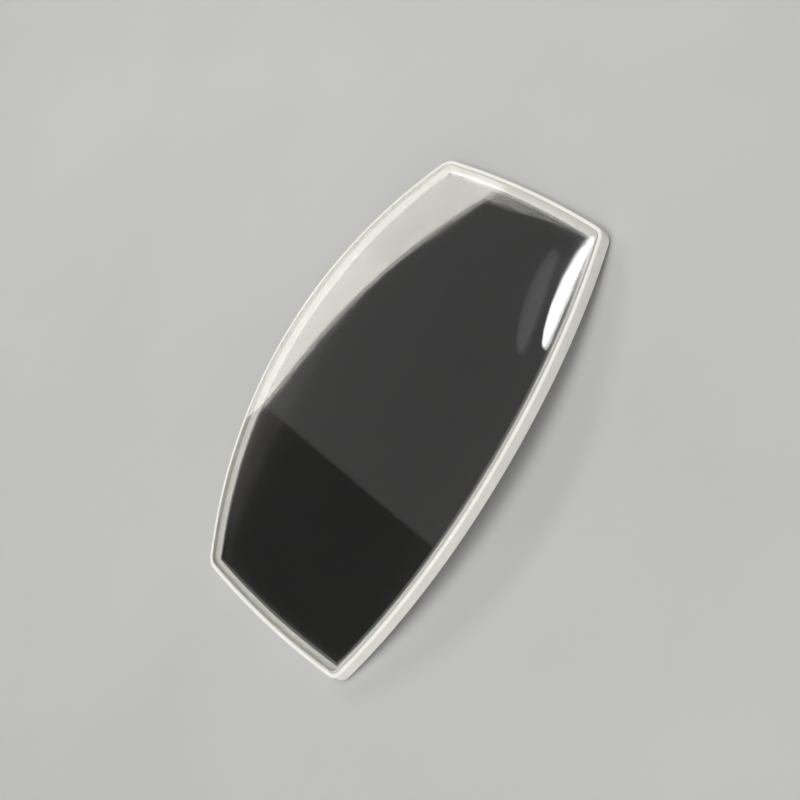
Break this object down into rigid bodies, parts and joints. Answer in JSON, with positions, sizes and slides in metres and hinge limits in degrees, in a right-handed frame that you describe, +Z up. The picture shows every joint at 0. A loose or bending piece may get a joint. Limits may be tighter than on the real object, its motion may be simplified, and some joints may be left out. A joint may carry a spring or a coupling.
{
  "type": "watch glass",
  "caption": "Barrel-shaped watch glass, arched along its length, with a ground edge held in a cream sealing gasket.",
  "frame": {"origin": "under the middle of the glass, on the plane that its two ends rest on", "axes": "+Y along the length, +X across the width, +Z up through the domed face"},
  "size_m": [0.0306, 0.044, 0.0034],
  "materials": {
    "clear_glass": "polished faces, finely ground edge",
    "seal_nylon": "matt, moulded, cream-white"
  },
  "bodies": {
    "root": {"crystal": "clear_glass", "gasket": "seal_nylon"}
  },
  "joints": []
}
